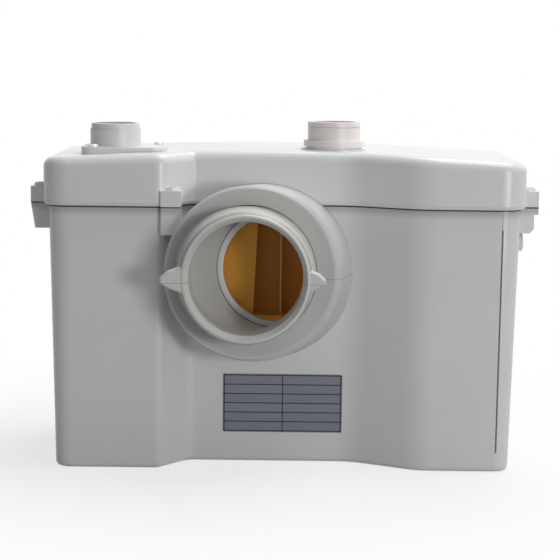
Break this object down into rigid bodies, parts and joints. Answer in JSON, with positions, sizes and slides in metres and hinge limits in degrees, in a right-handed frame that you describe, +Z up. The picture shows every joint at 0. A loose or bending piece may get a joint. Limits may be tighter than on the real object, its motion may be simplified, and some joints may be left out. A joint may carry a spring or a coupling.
{
  "type": "macerator toilet pump",
  "caption": "Floor-standing macerating toilet pump: moulded tank with crowned lid, round pan inlet in front, discharge and auxiliary spigots on top, motor and cutter inside.",
  "frame": {"origin": "middle of the tank's underside, on the plane of the base", "axes": "+Z up, +X to the right seen from the front along the tank's length, -Y towards the toilet pan"},
  "size_m": [0.461, 0.2391, 0.314],
  "materials": {
    "white_plastic": "smooth moulded white plastic with a soft sheen",
    "rubber": "matt black rubber",
    "amber_plastic": "smooth amber moulded plastic",
    "grey_plastic": "plain grey moulded plastic",
    "black_plastic": "matt black glass-filled plastic",
    "steel": "turned and pressed steel",
    "screw_steel": "stainless screws",
    "aluminium": "cast aluminium",
    "copper": "enamelled copper wire",
    "switch_plastic": "dark switch housing",
    "board": "green circuit board laminate",
    "board_parts": "pale terminal and capacitor plastic"
  },
  "bodies": {
    "housing": {"tank_shell": "white_plastic", "base_pads": "rubber", "inlet_collar": "white_plastic", "pan_connector": "white_plastic", "port_seal": "rubber", "lid_gasket": "rubber", "lid_cover": "white_plastic", "lid_screws": "screw_steel", "macerator_chamber": "amber_plastic", "feed_elbow": "grey_plastic", "volute_casing": "black_plastic", "grinding_basket": "steel", "motor_flange": "aluminium", "shaft_seal": "rubber", "lower_bearing": "steel", "upper_bearing": "steel", "motor_can": "steel", "motor_end_cap": "aluminium", "stator_core": "steel", "stator_windings": "copper", "motor_screws": "screw_steel", "riser_pipe": "grey_plastic", "valve_body": "grey_plastic", "discharge_flap_pin": "steel", "discharge_spigot": "white_plastic", "spigot_screws": "screw_steel", "aux_spigot": "white_plastic", "aux_elbow": "grey_plastic", "inlet_flap_pin": "steel", "level_bell": "grey_plastic", "pressure_housing": "grey_plastic", "diaphragm": "rubber", "control_box": "black_plastic", "control_box_cover": "black_plastic", "switch_bracket": "steel", "lever_pin": "steel", "microswitch": "switch_plastic", "circuit_board": "board", "relay": "switch_plastic", "terminal_block": "board_parts", "capacitor": "board_parts", "capacitor_clip": "steel", "cable_gland": "white_plastic", "gland_locknut": "white_plastic"},
    "rotor": {"motor_shaft": "steel", "rotor_core": "steel", "blade_carrier": "steel", "cutting_blades": "steel", "impeller": "black_plastic"},
    "discharge_flap": {"discharge_flap": "rubber"},
    "inlet_flap": {"inlet_flap": "rubber"},
    "plunger": {"switch_plunger": "grey_plastic"},
    "lever": {"switch_lever": "steel"},
    "button": {"switch_button": "switch_plastic"}
  },
  "joints": [
    {"name": "rotor_spin", "type": "hinge", "parent": "housing", "child": "rotor", "pos_m": [-0.013, 0.033, 0], "axis": [0, 0, 1], "continuous": true},
    {"name": "discharge_flap_swing", "type": "hinge", "parent": "housing", "child": "discharge_flap", "pos_m": [-0.1755, -0.034, 0.2488], "axis": [0, -1, 0], "range_deg": [0, 60]},
    {"name": "inlet_flap_swing", "type": "hinge", "parent": "housing", "child": "inlet_flap", "pos_m": [0.0851, -0.024, 0.2795], "axis": [0, -1, 0], "range_deg": [0, 65]},
    {"name": "plunger_lift", "type": "slide", "parent": "housing", "child": "plunger", "axis": [0, 0, 1], "range_m": [0, 0.002], "stiffness_N_per_m": 400},
    {"name": "lever_tilt", "type": "hinge", "parent": "housing", "child": "lever", "pos_m": [0.122, 0.018, 0.1844], "axis": [0, -1, 0], "range_deg": [0, 8]},
    {"name": "button_press", "type": "slide", "parent": "housing", "child": "button", "axis": [0, 0, 1], "range_m": [0, 0.0013]}
  ],
  "couplings": [
    {"joint": "lever_tilt", "follows": "plunger_lift", "rad_per_m": 66},
    {"joint": "button_press", "follows": "plunger_lift", "ratio": 0.6}
  ]
}
